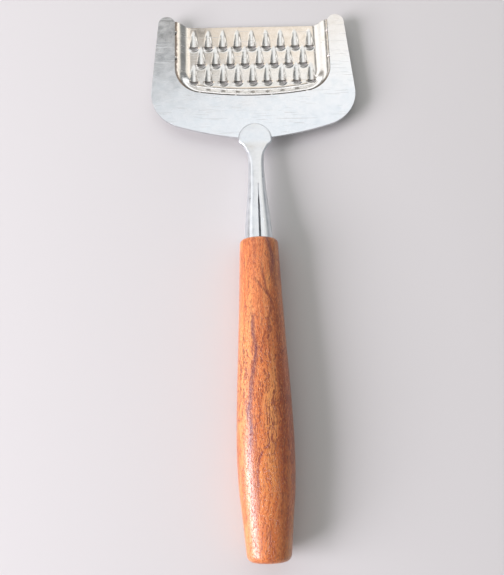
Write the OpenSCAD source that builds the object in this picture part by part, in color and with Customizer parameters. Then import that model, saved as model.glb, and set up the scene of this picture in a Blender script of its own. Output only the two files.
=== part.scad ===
// Hand grater with a shovel-shaped stainless steel head and a turned wooden handle.
// The tool lies on a table as it is put down: +Y runs from the handle's butt to the head,
// +Z is up, and z = 0 is the table, which the cutting lips and the handle's swell touch.
// All sizes are in millimetres.

/* [Head] */
// Length of the whole tool
overall_l = 244; // [236:0.5:252]
// Width of the head across the two horns at the front
horn_w = 89.2; // [87:0.2:92]
// Thickness of the frame sheet
frame_t = 1.2; // [1:0.1:1.6]
// Width of the window that the grater plate fills
window_w = 73.4; // [72:0.2:74]
// Length of the window, from the horn tips to its rear edge
window_l = 43.4; // [42.8:0.2:44]

/* [Grater plate] */
// Thickness of the pressed plate
plate_t = 0.8; // [0.6:0.1:1]
// Depth of the pressed dish, from its ledge down to its floor
dish_depth = 3.2; // [2.8:0.1:3.6]
// Diameter of the round holes
hole_d = 3.9; // [3.6:0.1:4]
// Distance between the holes of a row
hole_pitch = 7; // [6.6:0.1:7]
// Distance between the rows
row_pitch = 9.46; // [9.2:0.02:9.5]
// Holes in the front row and in the rear row, one more than in the middle row
holes_n = 9; // [5:2:9]
// Length of a gouge, from its tip to its cutting lip
gouge_l = 8; // [7:0.1:8.4]
// Depth of the gouge at its cutting lip
lip_depth = 1.05; // [0.8:0.05:1.2]

/* [Shank] */
// Width of the round tongue that is welded to the frame
tongue_w = 15; // [14:0.2:16]
// Thickness of the flattened tongue
tongue_t = 2; // [1.8:0.1:2.2]
// Width of the neck at its narrowest
neck_w = 7; // [6.6:0.1:7.4]
// Width of the rolled cone where it enters the wood
cone_w = 12.4; // [11.8:0.1:12.6]
// Height of the rolled cone where it enters the wood
cone_h = 9.3; // [8.8:0.1:9.6]
// Thickness of the rolled sheet
roll_t = 1; // [0.8:0.1:1.1]
// Widest opening of the rolled seam
seam_gap = 1; // [0.6:0.1:1.2]
// Length of the shank inside the handle
tang_l = 45; // [35:1:55]

/* [Handle] */
// Length of the wooden handle
handle_l = 128.3; // [124:0.1:132]
// Width at the front end
front_w = 16.6; // [16.4:0.1:17.4]
// Width at the swell
swell_w = 23.1; // [22.4:0.1:24]
// Width at the butt
butt_w = 17.4; // [16.6:0.1:18.4]
// Height of the handle for each millimetre of width
oval = 0.82; // [0.8:0.01:0.9]

/* [Hidden] */

FRAME_STEEL = "#c4c5c4";
PLATE_STEEL = "#dcd6c9";
SHANK_STEEL = "#cfd1d2";
WELD = "#8f8b84";
GLUE = "#c9a86a";
ROSEWOOD = "#a5502a";

// Stations along Y, counted back from the horn tips.
tip_y = overall_l / 2;
front_y = tip_y - 2.9;
row_y = tip_y - 14.2;
window_y = tip_y - window_l;
shoulder_y = tip_y - 40.5;
tongue_y = tip_y - 66.3;
wood_y = handle_l - tip_y;

// Heights above the table.
floor_z = lip_depth + plate_t;
ledge_z = floor_z + dish_depth;
frame_z = ledge_z + frame_t;
axis_z = swell_w * oval / 2;

// Points on an arc about c, from angle a to angle b in n steps.
function arc(c, r, a, b, n) =
    [for (i = [0:n]) c + r * [cos(a + (b - a) * i / n), sin(a + (b - a) * i / n)]];
// Points along arcs that follow one another without a kink. Each leg is [radius, turn],
// p is the starting point and h is the heading there; every turn is clockwise.
function legs(p, h, list, k = 0) =
    k == len(list) ? [] :
    let (r = list[k][0], turn = list[k][1], c = p + r * [sin(h), -cos(h)],
         points = arc(c, r, h + 90, h + 90 - turn, 12))
    concat(points, legs(points[12], h - turn, list, k + 1));
// A right-hand outline and its mirror image in X, joined at the ends.
function mirrored(points) =
    concat(points, [for (i = [len(points) - 1:-1:0]) [-points[i][0], points[i][1]]]);
// A rounded rectangle about the origin: width, height and corner radius.
function oblong(w, h, r) = [
    for (k = [0:3], i = [0:8]) let (a = 90 * k + 90 * i / 8)
        [(k == 0 || k == 3 ? 1 : -1) * (w / 2 - r) + r * cos(a),
         (k < 2 ? 1 : -1) * (h / 2 - r) + r * sin(a)]
];
// Value at t of a smooth curve through rows of [t, value, value, ...].
function slope(rows, i) =
    let (a = rows[max(i - 1, 0)], b = rows[min(i + 1, len(rows) - 1)]) (b - a) / (b[0] - a[0]);
function span_of(rows, t, i = 0) =
    i >= len(rows) - 2 || t < rows[i + 1][0] ? i : span_of(rows, t, i + 1);
function curve(rows, t) =
    let (i = span_of(rows, t), a = rows[i], b = rows[i + 1], d = b[0] - a[0], u = (t - a[0]) / d)
    (2 * u * u * u - 3 * u * u + 1) * a + (u * u * u - 2 * u * u + u) * d * slope(rows, i)
    + (3 * u * u - 2 * u * u * u) * b + (u * u * u - u * u) * d * slope(rows, i + 1);

// A closed skin over rings of points that follow one another. Each ring has an even number
// of points, and strips from one half of it to the other cap the two ends.
module skin(rings) {
    n = len(rings[0]);
    m = len(rings);
    last = (m - 1) * n;
    caps = [for (i = [0:n / 2 - 2]) each [
        [i, i + 1, n - 2 - i, n - 1 - i],
        [last + n - 1 - i, last + n - 2 - i, last + i + 1, last + i],
    ]];
    sides = [for (j = [0:m - 2], i = [0:n - 1])
        let (a = j * n + i, b = j * n + (i + 1) % n) [a, a + n, b + n, b]];
    polyhedron([for (ring = rings, p = ring) p], concat(sides, caps), convexity = 6);
}
// A ring of [x, z] points placed at y.
function at_y(ring, y) = [for (p = ring) [p[0], y, p[1]]];

// ---- Window: parallel sides, round corners and a rear edge that bows backwards ----

window_x = window_w / 2;
corner_r = 13.5;
rear_r = 154;
corner_x = window_x - corner_r;
rear_y = window_y + rear_r;
corner_y = rear_y - sqrt(pow(rear_r - corner_r, 2) - pow(corner_x, 2));
rear_a = asin(corner_x / (rear_r - corner_r));

// The window's edge moved inwards by u, from the right-hand front end at y round the back.
function window_edge(u, y) = let (right = concat(
        [[window_x - u, y]],
        arc([corner_x, corner_y], corner_r - u, 0, rear_a - 90, 14),
        arc([0, rear_y], rear_r - u, rear_a - 90 - rear_a / 7, -90 + rear_a / 14, 7)
    )) mirrored(right);

// ---- Frame plate: one flat blank of sheet, cut round the window ----

horn_r = 4;
horn_x = horn_w / 2 - horn_r;
flare = 4.55;
shoulder_x = horn_w / 2 + (tip_y - horn_r - shoulder_y) * tan(flare);
rear_legs = [[17, 49.5], [19, 27.2], [157, 9.5], [66, 90 + flare - 86.2]];

module frame_outline() {
    rear = legs([shoulder_x, shoulder_y], flare - 90, rear_legs);
    difference() {
        polygon(mirrored(concat(
            [[0, corner_y + 1]],
            [[horn_x - horn_r, corner_y + 1]],
            arc([horn_x, tip_y - horn_r], horn_r, 180, flare, 20),
            rear
        )));
        polygon(window_edge(0, tip_y + 1));
    }
}

// Spot welds between the tongue and the frame.
spots = [[0, 5], [-3.6, 2.2], [3.6, 2.2]];
spot_d = 3;
spot_t = 0.8;

module spot(k) {
    translate([spots[k][0], tongue_y + spots[k][1], frame_z - spot_t / 2])
        cylinder(d = spot_d, h = spot_t, $fn = 48);
}

module frame_plate() {
    color(FRAME_STEEL) difference() {
        translate([0, 0, ledge_z]) linear_extrude(frame_t) frame_outline();
        for (k = [0:2]) spot(k);
    }
}

// ---- Grater plate: a dish pressed from thinner sheet, with a flange under the frame ----

flange = 4.6;
ledge = 0.3;
wall_w = 7;
side_steps = 12;
// The front edge runs on beside the horns, and drops back to front_y down the side.
front_sweep = 1.2;

function s_curve(t) = t * t * (3 - 2 * t);
function down_side(u) = s_curve(max(u - ledge, 0) / (wall_w - ledge));

// Upper face of the dish's side, from the flange in to the floor, as [distance in, height].
side_line = concat([[-flange, ledge_z]], [for (i = [0:side_steps])
    let (u = ledge + (wall_w - ledge) * i / side_steps)
        [u, ledge_z - dish_depth * down_side(u)]]);

floor_reach = 1;
side_section = concat(side_line,
    [[wall_w + floor_reach, floor_z], [wall_w + floor_reach, floor_z - plate_t]],
    [for (i = [len(side_line) - 1:-1:0]) side_line[i] - [0, plate_t]]);

// The side follows the window's edge, and the floor fills it.
module dish() {
    edges = [for (p = side_section)
        window_edge(p[0], front_y + front_sweep * (1 - down_side(min(p[0], wall_w))))];
    skin([for (j = [0:len(edges[0]) - 1])
        [for (k = [0:len(side_section) - 1]) [edges[k][j][0], edges[k][j][1], side_section[k][1]]]]);
    translate([0, 0, floor_z - plate_t]) linear_extrude(plate_t)
        polygon(window_edge(wall_w + floor_reach / 2, front_y));
}

// Each gouge is a round-nosed groove that slopes down to the cutting lip at its hole.
gouge_r = (pow(hole_d / 2 - 0.1, 2) + pow(lip_depth, 2)) / (2 * lip_depth);
gouge_a = atan(lip_depth / gouge_l);
lip_y = 1;

module at_holes() {
    for (row = [0:2])
        let (n = row == 1 ? holes_n - 1 : holes_n)
            for (i = [0:n - 1])
                translate([(i - (n - 1) / 2) * hole_pitch, row_y - row * row_pitch, 0]) children();
}

module groove(r, overrun) {
    translate([0, lip_y, floor_z - lip_depth + gouge_r]) rotate([gouge_a - 90, 0, 0])
        translate([0, 0, -overrun])
            cylinder(r = r, h = gouge_l / cos(gouge_a) + 0.7 + overrun, $fn = 64);
}

module grater_plate() {
    color(PLATE_STEEL) difference() {
        union() {
            dish();
            intersection() {
                at_holes() groove(gouge_r + plate_t, 0);
                translate([-window_x, window_y, -1]) cube([window_w, window_l, floor_z + 1]);
            }
        }
        at_holes() groove(gouge_r, 1);
        at_holes() translate([0, 0, -1]) linear_extrude(floor_z + 2) intersection() {
            circle(d = hole_d, $fn = 64);
            translate([-hole_d, -hole_d]) square([2 * hole_d, hole_d + lip_y]);
        }
    }
}

// ---- Tack welds in the step between the frame and the grater plate ----

tack_r = 0.75;
rear_tacks = [-25.2, -8.4, 8.4, 25.2];
side_tacks = [8, 22];

module tack(x, y) {
    color(WELD) difference() {
        translate([x, y, ledge_z + 0.25]) sphere(r = tack_r, $fn = 32);
        translate([x - 2, y - 2, ledge_z - 4]) cube([4, 4, 4]);
        translate([0, 0, ledge_z - 2]) linear_extrude(frame_t + 2) frame_outline();
    }
}
module side_tack(s, k) { tack(s * (window_x - 0.2), tip_y - side_tacks[k]); }
module rear_tack(k) {
    x = rear_tacks[k];
    tack(x * (1 - 0.2 / rear_r), rear_y - sqrt(pow(rear_r, 2) - x * x) + 0.2);
}

// ---- Shank: a sheet blank rolled to an oval cone and flattened to a tongue ----

// Distance back from the tongue's centre, width, height and height of the middle.
shank_rows = [
    [0, tongue_w, tongue_t, frame_z + tongue_t / 2],
    [1.3, tongue_w, tongue_t, frame_z + tongue_t / 2],
    [3.2, 11.2, 2.2, frame_z + 1.12],
    [5.2, 9.1, 2.8, frame_z + 1.12],
    [8, 7.5, 3.6, frame_z + 1.08],
    [12, neck_w, 4.3, frame_z + 1.2],
    [21, 7.6, 5.4, frame_z + 1.7],
    [30, 9.1, 6.8, frame_z + 2.05],
    [40, 11, 8.1, axis_z - 0.65],
    [tongue_y - wood_y, cone_w, cone_h, axis_z],
];
cone_l = tongue_y - wood_y;
cone_steps = 22;
nose_steps = 6;
cavity_start = 11;

function shank_ring(row, t) =
    let (w = row[1] - 2 * t, h = row[2] - 2 * t, r = min(w, h) / 2 - (t == 0 ? 0.1 : 0.02))
    [for (p = oblong(w, h, r)) p + [0, row[3]]];

module tongue_and_cone(t, start) {
    stop = cone_l + tang_l + (t == 0 ? 0 : 1);
    nose = t > 0 ? [] : [for (i = [nose_steps:-1:1]) let (a = 83 * i / nose_steps)
        [-tongue_w / 2 * sin(a), tongue_w * cos(a), tongue_t, frame_z + tongue_t / 2]];
    rows = concat(nose,
        [for (i = [0:cone_steps]) curve(shank_rows, start + (cone_l - start) * i / cone_steps)],
        [[stop, cone_w, cone_h, axis_z]]);
    skin([for (row = rows) at_y(shank_ring(row, t), tongue_y - row[0])]);
}

module shank() {
    color(SHANK_STEEL) difference() {
        tongue_and_cone(0, 0);
        tongue_and_cone(roll_t, cavity_start);
        // The seam opens towards the wood.
        translate([0, 0, axis_z]) linear_extrude(cone_h) polygon([
            [0.3, tongue_y - 24], [0.9, tongue_y - 24],
            [0.5 + seam_gap / 2, tongue_y - 33], [0.5 + seam_gap / 2, wood_y - tang_l - 1],
            [0.5 - seam_gap / 2, wood_y - tang_l - 1], [0.5 - seam_gap / 2, tongue_y - 33],
        ]);
        for (k = [0:2]) spot(k);
    }
}

// ---- Handle: one length of hardwood, shaped to an oval with a swell near the butt ----

glue_t = 0.2;
glue_end = 1;
socket_l = tang_l + glue_end;

module socket(grow, y0, y1) {
    translate([0, y0, axis_z]) rotate([90, 0, 0]) linear_extrude(y0 - y1)
        polygon(oblong(cone_w + 2 * grow, cone_h + 2 * grow, cone_h / 2 - 0.1 + grow));
}

module tang_glue() {
    color(GLUE) difference() {
        socket(glue_t, wood_y, wood_y - socket_l);
        socket(0, wood_y + 1, wood_y - tang_l);
    }
}

// Distance back from the front end and width.
front_round = 2;
butt_round = 3;
handle_rows = [
    [front_round, front_w],
    [handle_l * 0.18, front_w + 0.22 * (swell_w - front_w)],
    [handle_l * 0.35, front_w + 0.51 * (swell_w - front_w)],
    [handle_l * 0.51, front_w + 0.82 * (swell_w - front_w)],
    [handle_l * 0.67, swell_w],
    [handle_l * 0.79, swell_w - 0.16 * (swell_w - butt_w)],
    [handle_l * 0.88, swell_w - 0.58 * (swell_w - butt_w)],
    [handle_l - butt_round, butt_w],
];
handle_steps = 20;

function handle_ring(w) =
    [for (i = [0:39]) [w / 2 * cos(9 * i), axis_z + w * oval / 2 * sin(9 * i)]];

module wood() {
    front = [for (i = [5:-1:1]) let (a = 18 * i)
        [front_round * (1 - sin(a)), front_w - 2 * front_round * 0.6 * (1 - cos(a))]];
    butt = [for (i = [1:5]) let (a = 18 * i)
        [handle_l - butt_round + butt_round * sin(a), butt_w - 2 * butt_round * 0.9 * (1 - cos(a))]];
    middle = [for (i = [0:handle_steps])
        curve(handle_rows, front_round + (handle_l - front_round - butt_round) * i / handle_steps)];
    rows = concat(front, middle, butt);
    skin([for (row = rows) at_y(handle_ring(row[1]), wood_y - row[0])]);
}

module handle() {
    color(ROSEWOOD) difference() {
        wood();
        socket(glue_t, wood_y + 1, wood_y - socket_l);
    }
}

frame_plate();
grater_plate();
side_tack(-1, 0);  // seam_weld_left_1
side_tack(-1, 1);  // seam_weld_left_2
side_tack(1, 0);  // seam_weld_right_1
side_tack(1, 1);  // seam_weld_right_2
rear_tack(0);  // seam_weld_rear_1
rear_tack(1);  // seam_weld_rear_2
rear_tack(2);  // seam_weld_rear_3
rear_tack(3);  // seam_weld_rear_4
shank();
color(WELD) spot(0);  // tongue_weld_1
color(WELD) spot(1);  // tongue_weld_2
color(WELD) spot(2);  // tongue_weld_3
tang_glue();
handle();
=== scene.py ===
# Looks of a hand grater with a steel head and a wooden handle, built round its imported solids.
import math

import bpy
import numpy as np
from mathutils import Matrix, Vector


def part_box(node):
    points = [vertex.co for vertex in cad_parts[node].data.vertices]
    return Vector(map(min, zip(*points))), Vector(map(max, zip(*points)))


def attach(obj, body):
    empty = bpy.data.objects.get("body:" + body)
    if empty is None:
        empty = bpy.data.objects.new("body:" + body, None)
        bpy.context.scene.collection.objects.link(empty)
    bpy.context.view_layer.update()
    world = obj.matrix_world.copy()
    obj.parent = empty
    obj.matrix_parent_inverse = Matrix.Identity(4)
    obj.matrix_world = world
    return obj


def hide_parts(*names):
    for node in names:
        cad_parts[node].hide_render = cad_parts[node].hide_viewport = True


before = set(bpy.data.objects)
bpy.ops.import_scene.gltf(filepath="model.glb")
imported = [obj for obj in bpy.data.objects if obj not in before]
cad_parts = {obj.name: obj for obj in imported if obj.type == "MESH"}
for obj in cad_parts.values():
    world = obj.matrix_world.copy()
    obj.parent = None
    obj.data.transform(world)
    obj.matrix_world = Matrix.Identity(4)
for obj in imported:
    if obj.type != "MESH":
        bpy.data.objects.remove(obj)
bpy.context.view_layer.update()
MM = 0.001

# ---- Frame sheet ----
# A shovel-shaped blank of 1.2 mm stainless sheet with a window that is open at the front. It
# was blanked, linished and polished by hand, so its faces are satin and its edges are rounded
# and burnished bright.

SHEET_EDGE = 0.45 * MM
# A thin grey line of painted shade lies on the sheet round the tongue, where the tongue's edge
# shades the sheet. It is dark to this far on either side of its middle and gone by the second
# distance.
LINE_DARK, LINE_GONE = 0.1 * MM, 0.3 * MM
# It lies just outside the tongue, and further out in front, so that the painted shade shows past
# the tongue's far edge.
LINE_OUT, LINE_FRONT = 0.12 * MM, 0.8 * MM


def only(piece):
    """Makes the piece the only selected and active object."""
    bpy.ops.object.select_all(action="DESELECT")
    piece.select_set(True)
    bpy.context.view_layer.objects.active = piece


def finish_with(piece, kind, **settings):
    """Adds a modifier to the piece and applies it."""
    only(piece)
    made = piece.modifiers.new(kind.lower(), kind)
    for name, value in settings.items():
        setattr(made, name, value)
    bpy.ops.object.modifier_apply(modifier=made.name)


def merged_copy(node, name):
    """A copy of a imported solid, with its loose triangles merged into whole faces."""
    piece = bpy.data.objects.new(name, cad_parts[node].data.copy())
    bpy.context.collection.objects.link(piece)
    piece.data.materials.clear()
    only(piece)
    bpy.ops.mesh.customdata_custom_splitnormals_clear()
    bpy.ops.object.mode_set(mode="EDIT")
    bpy.ops.mesh.select_all(action="SELECT")
    bpy.ops.mesh.remove_doubles(threshold=0.002 * MM)
    bpy.ops.mesh.dissolve_limited(angle_limit=math.radians(0.5))
    bpy.ops.object.mode_set(mode="OBJECT")
    return piece


def dress(piece, material, node, angle):
    """Gives a finished piece its material and its shading, and sets it in the frame."""
    only(piece)
    bpy.ops.object.shade_smooth_by_angle(angle=math.radians(angle))
    piece.data.materials.clear()
    piece.data.materials.append(material)
    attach(piece, "root")
    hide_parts(node)


def linear(hex_colour):
    """An sRGB hex colour as linear RGBA."""
    parts = [int(hex_colour[i : i + 2], 16) / 255 for i in (1, 3, 5)]
    return [c / 12.92 if c <= 0.04045 else ((c + 0.055) / 1.055) ** 2.4 for c in parts] + [1]


def add(tree, kind, links=None, **settings):
    """Adds a node to a tree: links gives its inputs' values, or the sockets that feed them, and
    settings gives its own properties."""
    made = tree.nodes.new("ShaderNode" + kind)
    for name, value in settings.items():
        setattr(made, name, value)
    for key, value in (links or {}).items():
        if isinstance(value, bpy.types.NodeSocket):
            tree.links.new(value, made.inputs[key])
        else:
            made.inputs[key].default_value = value
    return made


def new_material(name, **sockets):
    """A material with one Principled shader: the material, its node tree and its shader."""
    made = bpy.data.materials.new(name)
    made.use_nodes = True
    shader = made.node_tree.nodes["Principled BSDF"]
    for key, value in sockets.items():
        shader.inputs[key.replace("_", " ")].default_value = value
    return made, made.node_tree, shader


def stain(tree, under, hex_colour, *limits, fall="SMOOTHSTEP"):
    """Lays a colour over another where all of its limits let it show. A limit is a value, two
    levels of that value, and how much of the colour shows at each of them."""
    shown = None
    for value, low, high, at_low, at_high in limits:
        part = add(tree, "MapRange", {"Value": value, "From Min": low, "From Max": high,
                                      "To Min": at_low, "To Max": at_high},
                   interpolation_type=fall).outputs[0]
        shown = part if shown is None else add(
            tree, "Math", {0: shown, 1: part}, operation="MULTIPLY").outputs[0]
    return add(tree, "Mix", {0: shown, 6: under, 7: linear(hex_colour)}, data_type="RGBA",
               blend_type="MIX").outputs[2]


def stainless(name, pale, dull, rough, grain, scratch):
    """Polished stainless sheet. Fine polishing lines across the sheet soften what it mirrors,
    slow unevenness bends it, and hairline scratches from use catch the light. The depths of the
    grain and of the scratches are in metres."""
    steel, tree, shader = new_material(name, Metallic=1.0, Roughness=rough)
    place = add(tree, "TexCoord").outputs["Object"]
    # Polishing lines, 6.5 to the millimetre and some 3 mm long.
    lines = add(tree, "Mapping", {"Vector": place, "Scale": (0.3 / MM, 6.5 / MM, 3 / MM)})
    polish = add(tree, "TexNoise", {"Vector": lines.outputs[0], "Scale": 1.0, "Detail": 3.0})
    # Slow unevenness of the sheet, about 15 mm across.
    wave = add(tree, "TexNoise", {"Vector": place, "Scale": 0.07 / MM, "Detail": 1.0})
    # Cloudy marks of handling and washing, 4 mm across, which are also duller.
    cloud = add(tree, "TexNoise", {"Vector": place, "Scale": 0.26 / MM, "Detail": 4.0,
                                   "Roughness": 0.6})
    tint = add(tree, "ValToRGB", {"Fac": cloud.outputs["Fac"]})
    tint.color_ramp.elements[0].position = 0.3
    tint.color_ramp.elements[0].color = linear(dull)
    tint.color_ramp.elements[1].position = 0.62
    tint.color_ramp.elements[1].color = linear(pale)
    tree.links.new(tint.outputs["Color"], shader.inputs["Base Color"])
    spread = add(tree, "MapRange", {"Value": cloud.outputs["Fac"], "From Min": 0.3,
                                    "From Max": 0.7, "To Min": rough * 0.8, "To Max": rough * 1.3})
    # Two sets of hairline scratches at odd angles, 0.2 mm wide and 10 mm long. They are the
    # highest crests of a stretched noise.
    marks = None
    for turn, shift in ((0.5, 3.0), (-0.9, 9.0)):
        way = add(tree, "Mapping", {"Vector": place, "Rotation": (0, 0, turn),
                                    "Location": (shift, shift, 0),
                                    "Scale": (0.09 / MM, 2.6 / MM, 0.4 / MM)})
        line = add(tree, "TexNoise", {"Vector": way.outputs[0], "Scale": 1.0, "Detail": 0.0})
        thin = add(tree, "MapRange", {"Value": line.outputs["Fac"], "From Min": 0.755,
                                      "From Max": 0.80})
        marks = thin if marks is None else add(
            tree, "Math", {0: marks.outputs[0], 1: thin.outputs[0]}, operation="MAXIMUM")
    # A scratch is also 0.18 rougher than the sheet.
    rougher = add(tree, "Math", {0: marks.outputs[0], 1: 0.18, 2: spread.outputs[0]},
                  operation="MULTIPLY_ADD")
    tree.links.new(rougher.outputs[0], shader.inputs["Roughness"])
    slow = add(tree, "Bump", {"Height": wave.outputs["Fac"], "Distance": 0.25 * MM,
                              "Strength": 0.6})
    fine = add(tree, "Bump", {"Height": polish.outputs["Fac"], "Distance": grain,
                              "Strength": 1.0, "Normal": slow.outputs[0]})
    cut = add(tree, "Bump", {"Height": marks.outputs[0], "Distance": scratch,
                             "Strength": 1.0, "Normal": fine.outputs[0]}, invert=True)
    tree.links.new(cut.outputs[0], shader.inputs["Normal"])
    return steel


frame_steel = stainless("polished_stainless_sheet", "#e2e4e6", "#d4d7d9", 0.21,
                        0.0006 * MM, 0.004 * MM)
# The painted shade line round the tongue is an ellipse, on the upper face only.
frame_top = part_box("frame_plate")[1].z
tongue_r, tongue_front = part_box("shank")[1].xy
tree = frame_steel.node_tree
shader = tree.nodes["Principled BSDF"]
place = add(tree, "TexCoord").outputs["Object"]
middle = (0, tongue_front - tongue_r, 0)
beyond = add(tree, "VectorMath", {0: place, 1: middle}, operation="SUBTRACT").outputs[0]
squash = (1, tongue_r / (tongue_r + LINE_FRONT), 0)
beyond = add(tree, "VectorMath", {0: beyond, 1: squash}, operation="MULTIPLY").outputs[0]
reach = add(tree, "VectorMath", {0: beyond}, operation="LENGTH").outputs["Value"]
off = add(tree, "Math", {0: reach, 1: tongue_r + LINE_OUT}, operation="SUBTRACT").outputs[0]
off = add(tree, "Math", {0: off}, operation="ABSOLUTE").outputs[0]
height = add(tree, "SeparateXYZ", {"Vector": place}).outputs["Z"]
clean = shader.inputs["Base Color"].links[0].from_socket
# The grey line is painted shade, laid over the clean steel.
tongue_shaded = stain(tree, clean, "#6f7173", (off, LINE_GONE, LINE_DARK, 0.0, 0.7),
              (height, frame_top - 0.21 * MM, frame_top - 0.2 * MM, 0.0, 1.0), fall="LINEAR")
tree.links.new(tongue_shaded, shader.inputs["Base Color"])

sheet = merged_copy("frame_plate", "frame_sheet")
finish_with(sheet, "BEVEL", width=SHEET_EDGE, segments=4, limit_method="ANGLE",
            angle_limit=math.radians(60), harden_normals=False)
dress(sheet, frame_steel, "frame_plate", 50)
finish_with(sheet, "WEIGHTED_NORMAL", keep_sharp=True)

# ---- Grater plate ----
# A thinner stainless pressing: a flange that lies under the frame, a short ledge, a side that
# sweeps down to the floor of the dish, and rows of round holes, each with a gouge that slopes
# down to a cutting lip. The punch leaves a raised rim round the back of each hole.

plate_low, plate_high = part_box("grater_plate")
FLANGE = 4.6 * MM
PLATE_T = 0.8 * MM
LEDGE = 0.3 * MM
WALL_W = 7 * MM
FRONT_SWEEP = 1.2 * MM
CORNER_R = 13.5 * MM
REAR_R = 154 * MM
LIP_DEPTH = 1.05 * MM
GOUGE_L = 8 * MM
LIP_Y = 1 * MM
HOLE_R = 1.95 * MM
HOLE_PITCH = 7 * MM
ROW_PITCH = 9.46 * MM
FIRST_ROW = 11.3 * MM
ROWS = (9, 8, 9)
# A gouge's width at its lip, how far behind the hole's middle it starts, how far it takes to fall
# to its full depth, and the fillet along its edges.
GOUGE_W = 3.7 * MM
GOUGE_BACK, GOUGE_FALL = 0.6 * MM, 1.4 * MM
GOUGE_EASE = 0.16 * MM
# The rim's height and width, where it ends beside the hole and how far it takes to fade.
RIM_H, RIM_W = 0.26 * MM, 0.42 * MM
RIM_END, RIM_FADE = 0.5 * MM, 1.2 * MM
# How far to the sides of a hole and behind it the sheet is shaped.
AROUND = 3.4 * MM
# How far in front of the first row the front edge starts to drop back, and over what length.
SWEEP_FROM, SWEEP_OVER = 9 * MM, 2 * MM
FRONT_BEVEL = 0.24 * MM

window_x = plate_high.x - FLANGE
window_y = plate_low.y + FLANGE
floor_z = LIP_DEPTH + PLATE_T
ledge_z = plate_high.z
corner_x = window_x - CORNER_R
rear_middle = window_y + REAR_R
corner_y = rear_middle - math.sqrt((REAR_R - CORNER_R) ** 2 - corner_x**2)
rear_turn = math.asin(corner_x / (REAR_R - CORNER_R))
holes = [
    ((i - (n - 1) / 2) * HOLE_PITCH, plate_high.y - FRONT_SWEEP - FIRST_ROW - row * ROW_PITCH)
    for row, n in enumerate(ROWS)
    for i in range(n)
]


def blend_low(a, b, k):
    """The lower of two heights, with a fillet about k wide where they cross."""
    return np.minimum(a, b) - np.maximum(k - np.abs(a - b), 0) ** 2 / (4 * k)


def inside(x, y):
    """Distance of points inside the window's edge."""
    side = window_x - np.abs(x)
    rear = REAR_R - np.hypot(x, y - rear_middle)
    dx, dy = np.abs(x) - corner_x, y - corner_y
    turn = np.arctan2(dy, dx)
    in_corner = (turn < 0) & (turn > rear_turn - math.pi / 2)
    return np.where(in_corner, CORNER_R - np.hypot(dx, dy), np.minimum(side, rear))


def down_side(x, y):
    """How far down the dish's side points are: 0 at its top, 1 at the floor."""
    t = np.clip((inside(x, y) - LEDGE) / (WALL_W - LEDGE), 0, 1)
    return t * t * (3 - 2 * t)


def pressed(x, y):
    """Height of the plate's upper face."""
    z = ledge_z - (ledge_z - floor_z) * down_side(x, y)
    gouge_r = ((GOUGE_W / 2) ** 2 + LIP_DEPTH**2) / (2 * LIP_DEPTH)
    for hx, hy in holes:
        gx, gy = x - hx, y - hy
        near = (np.abs(gx) < AROUND) & (gy > -AROUND) & (gy < LIP_Y + GOUGE_L + 1 * MM)
        gx, gy = gx[near], gy[near]
        depth = LIP_DEPTH * (1 - (gy - LIP_Y) / GOUGE_L)
        depth *= np.clip((gy + GOUGE_BACK) / GOUGE_FALL, 0, 1)
        # The groove's section is part of a circle. Beside it the groove is out of reach.
        arch = gouge_r - np.sqrt(np.maximum(gouge_r**2 - gx**2, 0))
        groove = floor_z - depth + np.where(np.abs(gx) < gouge_r, arch, 9 * MM)
        z[near] = np.where(gy > -GOUGE_BACK, blend_low(z[near], groove, GOUGE_EASE), z[near])
        # The raised rim round the back of the hole.
        ring = np.hypot(gx, gy) - HOLE_R
        rim = RIM_H * np.exp(-((ring / RIM_W) ** 2))
        z[near] += rim * np.clip((RIM_END - gy) / RIM_FADE, 0, 1)
    return z


# The plate starts as a grid of squares under half a millimetre wide.
bpy.ops.object.select_all(action="DESELECT")
bpy.ops.mesh.primitive_grid_add(x_subdivisions=166, y_subdivisions=90, size=1)
plate = bpy.context.object
plate.name = plate.data.name = "grater_sheet"
span = plate_high - plate_low
bpy.ops.object.mode_set(mode="EDIT")
bpy.ops.transform.resize(value=(span.x, span.y, 1))
bpy.ops.transform.translate(value=((plate_low + plate_high).xy / 2).to_3d())
bpy.ops.mesh.select_all(action="DESELECT")
bpy.ops.object.mode_set(mode="OBJECT")
# The gouged area is divided more finely.
for face in plate.data.polygons:
    c = face.center
    face.select = abs(c.x) < 31 * MM and holes[-1][1] - 3 * MM < c.y < holes[0][1] + 10 * MM
bpy.ops.object.mode_set(mode="EDIT")
bpy.ops.mesh.select_mode(type="FACE")
bpy.ops.mesh.subdivide(number_cuts=1)
bpy.ops.object.mode_set(mode="OBJECT")
points = np.empty(len(plate.data.vertices) * 3)
plate.data.vertices.foreach_get("co", points)
points = points.reshape(-1, 3)
# The front edge runs on beside the horns, and drops back down the side.
swept = np.clip((points[:, 1] - holes[0][1] - SWEEP_FROM) / SWEEP_OVER, 0, 1)
points[:, 1] -= swept * FRONT_SWEEP * down_side(points[:, 0], np.full(len(points), corner_y))
points[:, 2] = pressed(points[:, 0], points[:, 1])
plate.data.vertices.foreach_set("co", points.ravel())
# Each point keeps its distance from the seam in millimetres, for the painted shade along it.
from_seam = plate.data.attributes.new("from_seam", "FLOAT", "POINT")
from_seam.data.foreach_set("value", inside(points[:, 0], points[:, 1]) / MM)
finish_with(plate, "SOLIDIFY", thickness=PLATE_T, offset=-1.0)

# The front edge is rounded off: its edges run across, at the front of either face.
only(plate)
bpy.ops.object.mode_set(mode="EDIT")
bpy.ops.mesh.select_mode(type="EDGE")
bpy.ops.mesh.select_all(action="DESELECT")
bpy.ops.object.mode_set(mode="OBJECT")
front = plate_high.y - FRONT_SWEEP - 0.01 * MM
for edge in plate.data.edges:
    a, b = (plate.data.vertices[i].co for i in edge.vertices)
    edge.select = min(a.y, b.y) > front and abs(a.x - b.x) > 0.3 * MM
bpy.ops.object.mode_set(mode="EDIT")
bpy.ops.mesh.bevel(offset=FRONT_BEVEL, offset_type="OFFSET", segments=3)
bpy.ops.object.mode_set(mode="OBJECT")

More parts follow.
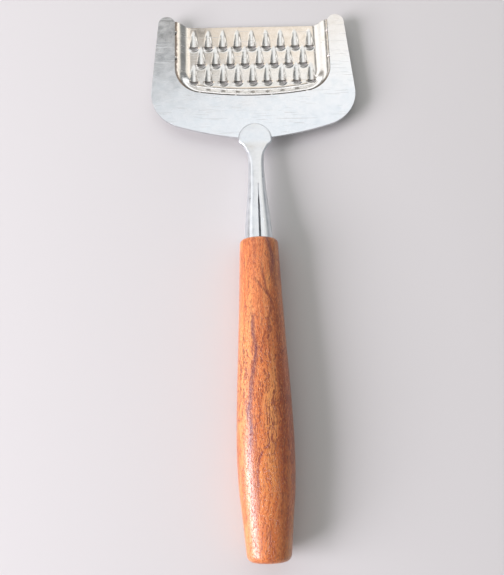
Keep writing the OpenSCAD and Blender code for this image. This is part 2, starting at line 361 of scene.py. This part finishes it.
# One punch is a round bar with a flat towards the gouge. It is copied to every hole.
bpy.ops.object.select_all(action="DESELECT")
bpy.ops.mesh.primitive_cylinder_add(vertices=64, radius=HOLE_R, depth=8 * MM)
punch = bpy.context.object
bpy.ops.object.mode_set(mode="EDIT")
bpy.ops.mesh.bisect(plane_co=(0, LIP_Y, 0), plane_no=(0, 1, 0), clear_outer=True)
bpy.ops.mesh.select_all(action="SELECT")
bpy.ops.mesh.fill_holes(sides=0)
bpy.ops.mesh.normals_make_consistent(inside=False)
bpy.ops.object.mode_set(mode="OBJECT")
punches = []
for hx, hy in holes:
    one = punch.copy()
    one.data = punch.data.copy()
    one.data.transform(Matrix.Translation((hx, hy, floor_z)))
    bpy.context.collection.objects.link(one)
    punches.append(one)
bpy.data.objects.remove(punch)
only(punches[0])
for one in punches:
    one.select_set(True)
bpy.ops.object.join()
punches = bpy.context.object
finish_with(plate, "BOOLEAN", operation="DIFFERENCE", object=punches, solver="MANIFOLD")
bpy.data.objects.remove(punches)


def drawn_tube(name, rings):
    """A closed solid drawn through rings of points: a grid is rolled up and its ends closed."""
    rings = np.array(rings)
    along_n, round_n = len(rings), len(rings[0])
    bpy.ops.object.select_all(action="DESELECT")
    bpy.ops.mesh.primitive_grid_add(x_subdivisions=round_n, y_subdivisions=along_n - 1, size=1)
    piece = bpy.context.object
    piece.name = piece.data.name = name
    flat = np.empty(len(piece.data.vertices) * 3)
    piece.data.vertices.foreach_get("co", flat)
    flat = flat.reshape(-1, 3)
    column = np.rint((flat[:, 0] + 0.5) * round_n).astype(int) % round_n
    row = np.rint((flat[:, 1] + 0.5) * (along_n - 1)).astype(int)
    piece.data.vertices.foreach_set("co", rings[row, column].ravel())
    bpy.ops.object.mode_set(mode="EDIT")
    bpy.ops.mesh.select_mode(type="VERT")
    bpy.ops.mesh.select_all(action="SELECT")
    bpy.ops.mesh.remove_doubles(threshold=0.0005 * MM)
    bpy.ops.mesh.fill_holes(sides=0)
    bpy.ops.mesh.normals_make_consistent(inside=False)
    bpy.ops.object.mode_set(mode="OBJECT")
    return piece


# The flange follows the window's edge. A blank with that outline trims the plate.
corner_turn = np.linspace(0, rear_turn - math.pi / 2, 25)
rear_turns = np.linspace(rear_turn - math.pi / 2, -math.pi / 2, 30)[1:]
right = np.concatenate([
    [[window_x + FLANGE, plate_high.y + 1 * MM]],
    np.column_stack([corner_x + (CORNER_R + FLANGE) * np.cos(corner_turn),
                     corner_y + (CORNER_R + FLANGE) * np.sin(corner_turn)]),
    np.column_stack([(REAR_R + FLANGE) * np.cos(rear_turns),
                     rear_middle + (REAR_R + FLANGE) * np.sin(rear_turns)]),
])
outline = np.concatenate([right, right[-2::-1] * (-1, 1)])
blank = drawn_tube("blank", [np.column_stack([outline, np.full(len(outline), z)])
                             for z in (plate_high.z + 1 * MM, plate_low.z - 1 * MM)])
finish_with(plate, "BOOLEAN", operation="INTERSECT", object=blank, solver="MANIFOLD")
bpy.data.objects.remove(blank)

plate_steel = stainless("polished_stainless_pressing", "#e2dfda", "#d5d1ca", 0.16,
                        0.001 * MM, 0.005 * MM)
# Painted shade lies in the step along the seam, in a broken brown line where the frame's edge
# shades the plate.
tree = plate_steel.node_tree
shader = tree.nodes["Principled BSDF"]
place = add(tree, "TexCoord").outputs["Object"]
far = add(tree, "Attribute", attribute_name="from_seam").outputs["Fac"]
far = add(tree, "Math", {0: far}, operation="ABSOLUTE").outputs[0]
# Its edge is ragged, in bites about a millimetre long. All widths are in millimetres.
ragged = add(tree, "TexNoise", {"Vector": place, "Scale": 0.9 / MM, "Detail": 3.0})
# The line is wider at the back, where the step is deeper, and rougher down the left side.
at = add(tree, "SeparateXYZ", {"Vector": place}).outputs
wide_back = add(tree, "MapRange", {"Value": at["Y"], "From Min": corner_y,
                                   "From Max": window_y + 3 * MM, "To Min": 0.0, "To Max": 1.4})
rough_side = add(tree, "MapRange", {"Value": at["X"], "From Min": -30 * MM,
                                    "From Max": -35 * MM, "To Min": 0.6, "To Max": 2.1})
wide = add(tree, "Math", {0: ragged.outputs["Fac"], 1: rough_side.outputs[0],
                          2: wide_back.outputs[0]}, operation="MULTIPLY_ADD")
wide = add(tree, "Math", {0: wide.outputs[0], 1: 0.17}, operation="SUBTRACT")
past = add(tree, "Math", {0: far, 1: wide.outputs[0]}, operation="SUBTRACT").outputs[0]
clean = shader.inputs["Base Color"].links[0].from_socket
# The brown line is painted shade in the step.
shaded_step = stain(tree, clean, "#4a3a31", (past, -0.12, 0.1, 0.75, 0.0),
               (at["Z"], ledge_z - 0.41 * MM, ledge_z - 0.4 * MM, 0.0, 1.0), fall="LINEAR")
tree.links.new(shaded_step, shader.inputs["Base Color"])
dress(plate, plate_steel, "grater_plate", 38)

# ---- Welds ----
# Small tack welds of stainless in the step between the frame and the plate, and spot welds
# hidden between the tongue and the frame. Linished, they are greyer and rougher than the sheet.

weld_steel, tree, shader = new_material("linished_weld", Metallic=1.0, Roughness=0.38)
place = add(tree, "TexCoord").outputs["Object"]
# Grinding marks, 0.3 mm across.
grit = add(tree, "TexNoise", {"Vector": place, "Scale": 3.2 / MM, "Detail": 2.0})
heat = add(tree, "ValToRGB", {"Fac": grit.outputs["Fac"]})
heat.color_ramp.elements[0].color = linear("#c2bcb2")
heat.color_ramp.elements[1].color = linear("#e4e2de")
tree.links.new(heat.outputs["Color"], shader.inputs["Base Color"])
bump = add(tree, "Bump", {"Height": grit.outputs["Fac"], "Distance": 0.05 * MM, "Strength": 0.7})
tree.links.new(bump.outputs[0], shader.inputs["Normal"])
for name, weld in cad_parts.items():
    if "weld" in name:
        weld.data.materials.clear()
        weld.data.materials.append(weld_steel)

# ---- Shank ----
# One blank of 1 mm stainless sheet, rolled to an oval cone with its seam on top, drawn in to a
# neck and flattened to a round tongue that lies on the frame. It runs on into the handle.

CONE_W, CONE_H = 12.4 * MM, 9.3 * MM
TONGUE_W, TONGUE_T, TONGUE_EDGE = 15 * MM, 2 * MM, 0.8 * MM
ROLL_T = 1 * MM
# The roll is hollow from this far back, and its seam lies this far right of the middle.
HOLLOW_FROM = 11 * MM
SEAM_X = 0.5 * MM
shank_low, shank_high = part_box("shank")
handle_low, handle_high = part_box("handle")
axis_z = (handle_low.z + handle_high.z) / 2
wood_y = handle_high.y
tongue_y = shank_high.y - TONGUE_W / 2
tongue_z = frame_top + TONGUE_T / 2
cone_l = tongue_y - wood_y
tongue_row = [TONGUE_W, TONGUE_T, tongue_z, TONGUE_EDGE]
# Distance back from the tongue's centre, width, height, height of the middle and edge radius.
SHANK_ROWS = np.array([
    [0, *tongue_row],
    [1.3 * MM, *tongue_row],
    [3.2 * MM, 11.2 * MM, 2.2 * MM, tongue_z + 0.12 * MM, 0.85 * MM],
    [5.2 * MM, 9.1 * MM, 2.8 * MM, tongue_z + 0.12 * MM, 0.95 * MM],
    [8 * MM, 7.5 * MM, 3.6 * MM, tongue_z + 0.08 * MM, 1.5 * MM],
    [12 * MM, 7 * MM, 4.3 * MM, tongue_z + 0.2 * MM, 2.05 * MM],
    [21 * MM, 7.6 * MM, 5.4 * MM, tongue_z + 0.7 * MM, 2.6 * MM],
    [30 * MM, 9.1 * MM, 6.8 * MM, tongue_z + 1.05 * MM, 3.3 * MM],
    [40 * MM, 11 * MM, 8.1 * MM, axis_z - 0.65 * MM, 3.95 * MM],
    [cone_l, CONE_W, CONE_H, axis_z, 4.5 * MM],
])


def along(rows, t):
    """Values at t of a smooth curve through rows of [t, value, value, ...]."""
    k = np.clip(np.searchsorted(rows[:, 0], t, side="right") - 1, 0, len(rows) - 2)
    before, after = rows[np.maximum(np.arange(len(rows)) - 1, 0)], np.roll(rows, -1, axis=0)
    after[-1] = rows[-1]
    slopes = (after - before) / (after[:, :1] - before[:, :1])
    a, b, d = rows[k], rows[k + 1], (rows[k + 1, 0] - rows[k, 0])[:, None]
    u = ((t - rows[k, 0]) / (rows[k + 1, 0] - rows[k, 0]))[:, None]
    return ((2 * u**3 - 3 * u**2 + 1) * a + (u**3 - 2 * u**2 + u) * d * slopes[k]
            + (3 * u**2 - 2 * u**3) * b + (u**3 - u**2) * d * slopes[k + 1])


def oblong(w, h, r):
    """A rounded rectangle of width w and height h, counted anticlockwise from its right."""
    round_n = 15
    turn = np.concatenate([np.linspace(q, q + 90, round_n) for q in (0, 90, 180, 270)])
    turn = np.radians(turn)
    sx = np.repeat([1, -1, -1, 1], round_n) * (w / 2 - r)
    sz = np.repeat([1, 1, -1, -1], round_n) * (h / 2 - r)
    return np.column_stack([sx + r * np.cos(turn), sz + r * np.sin(turn)])


def shank_rings(start, wall):
    """Rings of the shank from a start to the end of its tang, moved in by a wall. The outside,
    with no wall, begins with the round front of the tongue."""
    rings = []
    if not wall:
        for a in np.radians(np.linspace(84, 8, 14)):
            w = TONGUE_W * math.cos(a)
            ring = oblong(w, TONGUE_T, min(TONGUE_EDGE, w / 2.2))
            rings.append((tongue_y + TONGUE_W / 2 * math.sin(a), ring, tongue_z))
    for t, w, h, z, r in along(SHANK_ROWS, np.linspace(start, cone_l, 90)):
        w, h, r = w - 2 * wall, h - 2 * wall, max(r - wall, 0.2 * MM)
        # An edge's radius stays just under half of the width and of the height.
        rings.append((tongue_y - t, oblong(w, h, min(r, w / 2.01, h / 2.01)), z))
    end = shank_low.y - wall
    rings.append((end, rings[-1][1], rings[-1][2]))
    return [np.column_stack([ring[:, 0], np.full(len(ring), y), ring[:, 1] + z])
            for y, ring, z in rings]


shank = drawn_tube("rolled_shank", shank_rings(0, 0))
hollow = drawn_tube("hollow", shank_rings(HOLLOW_FROM, ROLL_T))
finish_with(shank, "BOOLEAN", operation="DIFFERENCE", object=hollow, solver="MANIFOLD")
bpy.data.objects.remove(hollow)

# The seam is a hairline at first and opens towards the wood, and runs out past the tang's end.
# Each pair is a distance back and the gap there, in millimetres.
SEAM_ROWS = [(23, 0.03), (28.5, 0.06), (31.5, 0.4), (38, 0.62), (cone_l / MM, 0.75),
             ((tongue_y - shank_low.y) / MM + 1, 1.0)]
# One side of its section from the bottom up, with a rounded lip: how far it is outside the gap,
# and its height over the shank's crest, in millimetres.
SEAM_LIP = [(0, -2.2), (0, -0.32), (0.03, -0.2), (0.1, -0.07), (0.14, -0.015), (0.24, 0.6)]
seam_rings = []
for t, gap in SEAM_ROWS:
    height, middle_z = along(SHANK_ROWS, np.array([min(t * MM, cone_l)]))[0][2:4]
    crest = middle_z + height / 2
    side = [(gap / 2 + x, z) for x, z in SEAM_LIP]
    outline = side + [(-x, z) for x, z in reversed(side)]
    seam_rings.append([(SEAM_X + x * MM, tongue_y - t * MM, crest + z * MM) for x, z in outline])
slot = drawn_tube("slot", seam_rings)
finish_with(shank, "BOOLEAN", operation="DIFFERENCE", object=slot, solver="MANIFOLD")
bpy.data.objects.remove(slot)

shank_steel = stainless("polished_rolled_stainless", "#eff3f6", "#dee3e7", 0.34,
                        0.0012 * MM, 0.005 * MM)
dress(shank, shank_steel, "shank", 40)

# ---- Adhesive ----
# A bed of cured epoxy between the tang and its socket. Only a thin amber line of it shows.

glue, tree, shader = new_material("cured_epoxy", Roughness=0.35, IOR=1.55)
place = add(tree, "TexCoord").outputs["Object"]
# Slight cloudiness, about a millimetre across.
lump = add(tree, "TexNoise", {"Vector": place, "Scale": 0.9 / MM, "Detail": 2.0})
amber = add(tree, "ValToRGB", {"Fac": lump.outputs["Fac"]})
amber.color_ramp.elements[0].color = linear("#4a2d18")
amber.color_ramp.elements[1].color = linear("#7d5630")
tree.links.new(amber.outputs["Color"], shader.inputs["Base Color"])
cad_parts["tang_glue"].data.materials.clear()
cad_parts["tang_glue"].data.materials.append(glue)

# ---- Handle ----
# One length of rosewood, turned and sanded to an oval with a swell near the butt, drilled out
# for the tang, then oiled and rubbed to a soft shine. Dark wavy veins follow the grain.

# Depth over width.
OVAL = 0.82
FRONT_W, SWELL_W, BUTT_W = 16.6 * MM, 23.1 * MM, 17.4 * MM
# How far along each end is rounded, and how far in, as a part of that.
FRONT_ROUND, BUTT_ROUND = 2 * MM, 3 * MM
FRONT_IN, BUTT_IN = 0.6, 0.9
handle_l = handle_high.y - handle_low.y
# Distance back from the front end, and width.
HANDLE_ROWS = np.array([
    [FRONT_ROUND, FRONT_W],
    [handle_l * 0.18, FRONT_W + 0.22 * (SWELL_W - FRONT_W)],
    [handle_l * 0.35, FRONT_W + 0.51 * (SWELL_W - FRONT_W)],
    [handle_l * 0.51, FRONT_W + 0.82 * (SWELL_W - FRONT_W)],
    [handle_l * 0.67, SWELL_W],
    [handle_l * 0.79, SWELL_W - 0.16 * (SWELL_W - BUTT_W)],
    [handle_l * 0.88, SWELL_W - 0.58 * (SWELL_W - BUTT_W)],
    [handle_l - BUTT_ROUND, BUTT_W],
])


def handle_rings():
    """Oval rings of the handle from its front end to its butt."""
    rows = []
    for a in np.radians(np.linspace(90, 9, 10)):
        rows.append((FRONT_ROUND * (1 - math.sin(a)),
                     FRONT_W - 2 * FRONT_ROUND * FRONT_IN * (1 - math.cos(a))))
    rows += list(along(HANDLE_ROWS, np.linspace(FRONT_ROUND, handle_l - BUTT_ROUND, 90)))
    for a in np.radians(np.linspace(9, 90, 10)):
        rows.append((handle_l - BUTT_ROUND * (1 - math.sin(a)),
                     BUTT_W - 2 * BUTT_ROUND * BUTT_IN * (1 - math.cos(a))))
    turn = np.linspace(0, 2 * math.pi, 96, endpoint=False)
    return [np.column_stack([w / 2 * np.cos(turn), np.full(len(turn), wood_y - t),
                             axis_z + w / 2 * OVAL * np.sin(turn)]) for t, w in rows]


handle = drawn_tube("wooden_handle", handle_rings())
# The socket is as wide and as deep as the adhesive that fills it.
glue_low, glue_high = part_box("tang_glue")
ring = oblong(glue_high.x - glue_low.x, glue_high.z - glue_low.z, CONE_H / 2 + 0.1 * MM)
socket = drawn_tube("socket", [
    np.column_stack([ring[:, 0], np.full(len(ring), y), ring[:, 1] + axis_z])
    for y in (wood_y + 1 * MM, glue_low.y)
])
finish_with(handle, "BOOLEAN", operation="DIFFERENCE", object=socket, solver="MANIFOLD")
bpy.data.objects.remove(socket)

rosewood, tree, shader = new_material(
    "oiled_rosewood", Roughness=0.4, IOR=1.5, Coat_Weight=0.8, Coat_Roughness=0.28)
place = add(tree, "TexCoord").outputs["Object"]


def swayed(source, bends, reach):
    """Places moved sideways by up to half of reach, by a noise of so many bends a metre."""
    noise = add(tree, "TexNoise", {"Vector": source, "Scale": bends, "Detail": 2.0})
    centred = add(tree, "VectorMath", {0: noise.outputs["Color"], 1: (0.5, 0.5, 0.5)},
                  operation="SUBTRACT")
    sideways = add(tree, "VectorMath", {0: centred.outputs[0], 1: (reach, 0.0, reach)},
                   operation="MULTIPLY")
    return add(tree, "VectorMath", {0: source, 1: sideways.outputs[0]}, operation="ADD").outputs[0]


def streaks(source, across, lengthwise, detail, move=(0, 0, 0)):
    """Noise stretched along the grain; across and lengthwise are the size of a streak."""
    way = add(tree, "Mapping", {"Vector": source, "Location": move,
                                "Scale": (1 / across, 1 / lengthwise, 1 / across)})
    return add(tree, "TexNoise", {"Vector": way.outputs[0], "Scale": 1.0, "Detail": detail,
                                  "Roughness": 0.55}).outputs["Fac"]


# The grain bends slowly by a few millimetres, and in short curls of half a millimetre.
grain = swayed(swayed(place, 0.028 / MM, 9 * MM), 0.15 / MM, 2.8 * MM)
# Growth bands about 5 mm wide and very long.
bands = streaks(grain, 5.5 * MM, 65 * MM, 3.0)
colour = add(tree, "ValToRGB", {"Fac": bands})
ramp = colour.color_ramp
ramp.elements[0].position, ramp.elements[0].color = 0.30, linear("#ae5526")
ramp.elements[1].position, ramp.elements[1].color = 0.70, linear("#e89a55")
ramp.elements.new(0.5).color = linear("#dd7a3a")
wood = colour.outputs["Color"]
# Fine grain, in dark and light streaks 0.8 mm wide.
fine = streaks(grain, 0.8 * MM, 16 * MM, 3.0, (3, 1, 2))
wood = stain(tree, wood, "#8c4423", (fine, 0.5, 0.72, 0.0, 0.6))
wood = stain(tree, wood, "#e9a668", (fine, 0.5, 0.28, 0.0, 0.45))
# A darker, redder zone along the right side: partly the wood's own colour at the heartwood's edge,
# partly painted shade on the side away from the window.
side_x = add(tree, "SeparateXYZ", {"Vector": grain}).outputs["X"]
wood = stain(tree, wood, "#a2461a", (side_x, 3 * MM, 7.5 * MM, 0.0, 1.0),
             (bands, 0.35, 0.6, 0.75, 0.35))
# Thin dark growth lines that follow the bent grain, where a broad noise crosses its middle.
ridge = add(tree, "Math", {0: streaks(grain, 4.2 * MM, 60 * MM, 1.0, (7, 2, 5)), 1: 0.5},
            operation="SUBTRACT")
ridge = add(tree, "Math", {0: ridge.outputs[0]}, operation="ABSOLUTE").outputs[0]
wood = stain(tree, wood, "#6b3020", (ridge, 0.012, 0.0, 0.0, 0.5))
# Dark mineral veins. Each wanders across the top as it runs along the handle: the pairs are
# places back from the front end and across, in millimetres. Then come where it starts, is
# full, begins to fade and ends, its half width, its colour and its least strength.
VEINS = [
    ([(33, -3.6), (41, -4.0), (48.6, -3.1), (54, -3.8), (60, -4.7), (69, -5.9), (74, -6.4),
      (79, -5.6), (84, -6.4), (100, -6.8)], (31, 39, 82, 104), 1.5, "#6d3440", 0.7),
    ([(15, -3.2), (21, -0.8), (25, 2.2), (29, 4.0), (37, 2.6), (50, 2.9)],
     (15, 22, 38, 56), 1.2, "#82381f", 0.4),
    ([(10, 0.4), (19, 1.3), (24, 2.4), (29, 4.1)], (8, 17, 24, 31), 1.1, "#8a3c22", 0.4),
    ([(0, 3.2), (5, 4.2), (9, 5.2), (14, 5.0), (22, 5.6)], (-4, 1, 12, 28), 1.9, "#85463f", 0.6),
    ([(70, 3.6), (82, 2.2), (90, -2.4), (98, -3.8), (112, -3.2)], (68, 84, 98, 112), 0.8,
     "#8a3c36", 0.1),
]
# The curve that steers a vein has room for this many millimetres to either side.
REACH = 12
long_mm = handle_l / MM
at = add(tree, "SeparateXYZ", {"Vector": swayed(place, 0.13 / MM, 1.6 * MM)}).outputs
back = add(tree, "MapRange", {"Value": at["Y"], "From Min": wood_y,
                              "From Max": wood_y - handle_l}).outputs[0]
broken = streaks(grain, 0.7 * MM, 5 * MM, 2.0)
for path, (start, full, fade, end), half_w, vein_colour, least in VEINS:
    course = add(tree, "FloatCurve", {"Value": back})
    curve = course.mapping.curves[0]
    path = [(t / long_mm, across / (2 * REACH) + 0.5) for t, across in path]
    curve.points[0].location = (0, path[0][1])
    curve.points[1].location = (1, path[-1][1])
    for t, across in path:
        if t > 0:
            curve.points.new(t, across)
    course.mapping.update()
    centre = add(tree, "MapRange", {"Value": course.outputs[0], "To Min": -REACH * MM,
                                    "To Max": REACH * MM}).outputs[0]
    off = add(tree, "Math", {0: at["X"], 1: centre}, operation="SUBTRACT").outputs[0]
    off = add(tree, "Math", {0: off}, operation="ABSOLUTE").outputs[0]
    # It is on the top only, within its length, and broken up by the grain.
    wood = stain(tree, wood, vein_colour,
                 (off, half_w * MM, 0.05 * MM, 0.0, 1.0),
                 (at["Z"], axis_z - 1 * MM, axis_z + 3 * MM, 0.0, 1.0),
                 (back, start / long_mm, full / long_mm, 0.0, 1.0),
                 (back, end / long_mm, fade / long_mm, 0.0, 1.0),
                 (broken, 0.32, 0.6, least, 0.95))
# Rippled dark lines, 0.8 mm wide, strongest in the middle of the length.
ripple = streaks(swayed(grain, 0.26 / MM, 2.4 * MM), 0.8 * MM, 11 * MM, 1.0, (5, 5, 1))
wood = stain(tree, wood, "#8c3a1a", (ripple, 0.52, 0.61, 0.0, 0.8),
             (back, 0.15, 0.4, 0.25, 1.0), (back, 0.85, 0.6, 0.25, 1.0))
# Open pores: short dark flecks, drawn 0.35 mm wide so that they show, with pale flecks between
# them that are painted glints of light caught on the pores' edges.
flecks = streaks(grain, 0.34 * MM, 1.3 * MM, 1.0, (1, 8, 4))
wood = stain(tree, wood, "#823a1a", (flecks, 0.55, 0.68, 0.0, 0.5))
# The pale flecks are painted glints.
wood = stain(tree, wood, "#f4b070", (flecks, 0.46, 0.32, 0.0, 0.35))
tree.links.new(wood, shader.inputs["Base Color"])
# The dark streaks are less polished, and the pores are sunk.
shine = add(tree, "MapRange", {"Value": fine, "From Min": 0.3, "From Max": 0.7, "To Min": 0.34,
                               "To Max": 0.44}, interpolation_type="SMOOTHSTEP")
tree.links.new(shine.outputs[0], shader.inputs["Roughness"])
pores = add(tree, "MapRange", {"Value": flecks, "From Min": 0.55, "From Max": 0.68},
            interpolation_type="SMOOTHSTEP").outputs[0]
relief = add(tree, "Math", {0: pores, 1: -1.0, 2: fine}, operation="MULTIPLY_ADD").outputs[0]
pits = add(tree, "Bump", {"Height": relief, "Distance": 0.07 * MM, "Strength": 0.9})
tree.links.new(pits.outputs[0], shader.inputs["Normal"])
tree.links.new(pits.outputs[0], shader.inputs["Coat Normal"])
dress(handle, rosewood, "handle", 40)

# ---- Studio ----
# A pale matt table in a plain room with soft lights: some beyond the head, which the polished
# steel mirrors, and a window low on the left, which lights the handle.

bpy.ops.object.select_all(action="DESELECT")
bpy.ops.mesh.primitive_plane_add(size=3, location=(0, 0, 0))
table = bpy.context.object
table.name = "table"
table_paint, tree, shader = new_material(
    "matt_table", Base_Color=linear("#d6d5d3"), Roughness=0.8)
table.data.materials.append(table_paint)


def soft_light(name, place, target, wide, high, power, colour, turn=0):
    """A rectangular light in watts that faces its target, turned by some degrees."""
    lamp = bpy.data.lights.new(name, "AREA")
    lamp.shape, lamp.size, lamp.size_y = "RECTANGLE", wide, high
    lamp.energy, lamp.color = power, linear(colour)[:3]
    stand = bpy.data.objects.new(name, lamp)
    stand.location = place
    aim = (Vector(target) - Vector(place)).to_track_quat("-Z", "Y").to_matrix()
    stand.rotation_euler = (Matrix.Rotation(math.radians(turn), 3, "Z") @ aim).to_euler()
    bpy.context.collection.objects.link(stand)


# The flat sheet mirrors the skylight, whose far edge runs askew, and the warm wall beyond it.
soft_light("skylight", (-0.176, 0.5, 1.0), (-0.176, 0.5, 0), 1.5, 0.42, 1.9, "#f4f9ff", 14)
soft_light("warm_wall", (0.36, 1.1, 1.02), (0.36, 1.1, 0), 0.88, 0.62, 1.5, "#ffeedb")
# The gouges mirror the far wall, the dish's rear side the low one, its left side the right one.
soft_light("far_wall", (-0.75, 0.95, 0.7), (0, 0.1, 0), 0.9, 0.5, 1.7, "#fbfcff")
soft_light("low_wall", (0.05, 1.35, 0.2), (0.05, 0, 0.2), 1.6, 0.36, 2.6, "#f6f9ff")
soft_light("right_wall", (0.63, 0.73, 0.62), (0, 0.1, 0), 0.42, 0.3, 0.4, "#fff8ee")
soft_light("window", (-1.05, -0.38, 0.54), (0, -0.06, 0), 0.78, 0.62, 23.0, "#fcf5ff")

# The room is brighter on the window's side.
room = bpy.data.worlds.new("room")
room.use_nodes = True
tree = room.node_tree
facing = add(tree, "SeparateXYZ", {"Vector": add(tree, "TexCoord").outputs["Generated"]})
away = add(tree, "MapRange", {"Value": facing.outputs["X"], "From Min": -0.4, "From Max": 0.5})
walls = add(tree, "ValToRGB", {"Fac": away.outputs[0]})
walls.color_ramp.elements[0].color = linear("#f6f1ec")
walls.color_ramp.elements[1].color = linear("#cfd4d9")
tree.links.new(walls.outputs["Color"], tree.nodes["Background"].inputs["Color"])
tree.nodes["Background"].inputs["Strength"].default_value = 0.44
bpy.context.scene.world = room
bpy.context.scene.view_settings.view_transform = "Standard"

# The camera looks down on the tool from above the handle's end, a little to the left. Its
# heading, its tilt down and its roll are in radians.
CAMERA_AT = Vector((-0.0084, -0.0799, 0.2631))
HEADING, DOWN, ROLL = 0.0738, 1.3175, 0.0458
ahead = Vector((math.sin(HEADING) * math.cos(DOWN), math.cos(HEADING) * math.cos(DOWN),
                -math.sin(DOWN)))
level = Vector((math.cos(HEADING), -math.sin(HEADING), 0))
right = math.cos(ROLL) * level + math.sin(ROLL) * level.cross(ahead)
axes = Matrix((right, right.cross(ahead), -ahead)).transposed()
lens = bpy.data.cameras.new("camera")
lens.sensor_width, lens.lens = 36, 38.8
lens.clip_start = 0.01
camera = bpy.data.objects.new("camera", lens)
camera.matrix_world = Matrix.Translation(CAMERA_AT) @ axes.to_4x4()
bpy.context.collection.objects.link(camera)
bpy.context.scene.camera = camera
